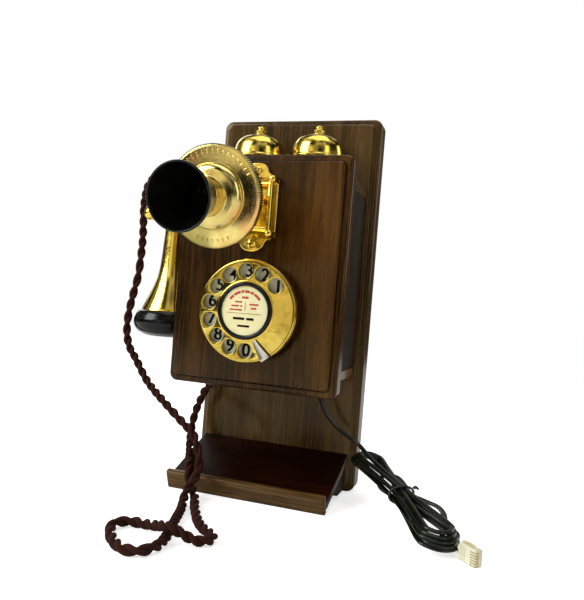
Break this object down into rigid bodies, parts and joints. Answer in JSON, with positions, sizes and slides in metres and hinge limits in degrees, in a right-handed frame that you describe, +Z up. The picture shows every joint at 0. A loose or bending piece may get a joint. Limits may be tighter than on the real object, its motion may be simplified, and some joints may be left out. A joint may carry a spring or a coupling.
{
  "type": "wall telephone",
  "caption": "Antique wooden wall telephone: bell receiver on a switch hook, tilting horn transmitter, rotary dial on a hinged door, twin gongs, sloping shelf and cords.",
  "frame": {"origin": "middle of the backboard's bottom edge, in the plane that it stands on", "axes": "+X to the right seen from the front, +Y to the wall, +Z up the backboard"},
  "size_m": [0.31, 0.2202, 0.3137],
  "materials": {
    "walnut": "dark stained and varnished",
    "brass": "polished and lacquered",
    "steel": "nickelled",
    "ebonite": "polished black",
    "enamel": "greenish grey enamel",
    "card": "cream paper card",
    "copper_winding": "lacquered wire winding",
    "fibre": "vulcanised fibre",
    "cotton_braid": "twisted brown cotton braid",
    "pvc": "glossy black sheath",
    "ivory_plastic": "moulded ivory"
  },
  "bodies": {
    "root": {"backboard": "walnut", "box_bottom": "walnut", "box_side_left": "walnut", "box_side_right": "walnut", "box_top": "walnut", "condenser": "steel", "gong_left": "brass", "gong_nut_left": "brass", "gong_nut_right": "brass", "gong_post_left": "brass", "gong_post_right": "brass", "gong_right": "brass", "hinge_box_leaf_lower": "brass", "hinge_box_leaf_upper": "brass", "hook_bracket": "brass", "hook_pivot_pin": "steel", "hook_switch": "fibre", "induction_coil": "copper_winding", "line_cord": "pvc", "line_cord_gland": "ebonite", "line_cord_hank": "pvc", "line_plug": "ivory_plastic", "receiver_cord": "cotton_braid", "receiver_cord_gland": "ebonite", "ringer_coil_left": "copper_winding", "ringer_coil_right": "copper_winding", "ringer_frame": "steel", "shelf_board": "walnut", "shelf_bracket_left": "walnut", "shelf_bracket_right": "walnut", "shelf_lip": "walnut", "terminal_block": "ebonite"},
    "door": {"door": "walnut", "door_catch": "brass", "hinge_door_leaf_upper": "brass", "hinge_door_leaf_lower": "brass", "dial_case": "brass", "dial_number_plate": "enamel", "dial_finger_stop": "steel", "transmitter_bracket": "brass", "bracket_screw_upper": "brass", "bracket_screw_lower": "brass", "transmitter_pivot_screw": "brass"},
    "dial_rotor": {"dial_finger_plate": "brass", "dial_card_ring": "ebonite", "dial_card": "card", "dial_main_gear": "brass"},
    "governor": {"dial_governor": "steel"},
    "transmitter": {"transmitter_case": "brass", "transmitter_face": "brass", "transmitter_capsule": "steel", "mouthpiece": "ebonite"},
    "hook": {"hook_lever": "brass"},
    "receiver": {"receiver_shell": "brass", "receiver_ear_cap": "ebonite", "receiver_diaphragm": "steel", "receiver_magnet": "steel", "receiver_tail": "brass"},
    "clapper": {"ringer_armature": "steel", "clapper": "brass"}
  },
  "joints": [
    {"name": "door_hinge", "type": "hinge", "parent": "root", "child": "door", "pos_m": [-0.0668, -0.0616, 0.17], "axis": [0, 0, -1], "range_deg": [0, 80]},
    {"name": "dial_turn", "type": "hinge", "parent": "door", "child": "dial_rotor", "pos_m": [0.0009, -0.0961, 0.1459], "axis": [0, 1, 0], "range_deg": [0, 336], "stiffness_Nm_per_rad": 0.002, "springref_deg": -57.3},
    {"name": "governor_spin", "type": "hinge", "parent": "door", "child": "governor", "pos_m": [0.0189, -0.0853, 0.1459], "axis": [0, 1, 0], "range_deg": [-1350, 0]},
    {"name": "transmitter_tilt", "type": "hinge", "parent": "door", "child": "transmitter", "pos_m": [-0.004, -0.104, 0.2281], "axis": [1, 0, 0], "range_deg": [-30, 20]},
    {"name": "receiver_lift", "type": "slide", "parent": "root", "child": "receiver", "axis": [0, 0, 1], "range_m": [0, 0.011], "deforming": ["receiver_cord"]},
    {"name": "hook_rock", "type": "hinge", "parent": "root", "child": "hook", "pos_m": [-0.038, -0.03, 0.2238], "axis": [0, 1, 0], "range_deg": [0, 8.2]},
    {"name": "clapper_swing", "type": "hinge", "parent": "root", "child": "clapper", "pos_m": [0, -0.0285, 0.233], "axis": [0, 1, 0], "range_deg": [-2.2, 2.2]}
  ],
  "couplings": [
    {"joint": "governor_spin", "follows": "dial_turn", "ratio": -4},
    {"joint": "hook_rock", "follows": "receiver_lift", "rad_per_m": 12.5}
  ]
}
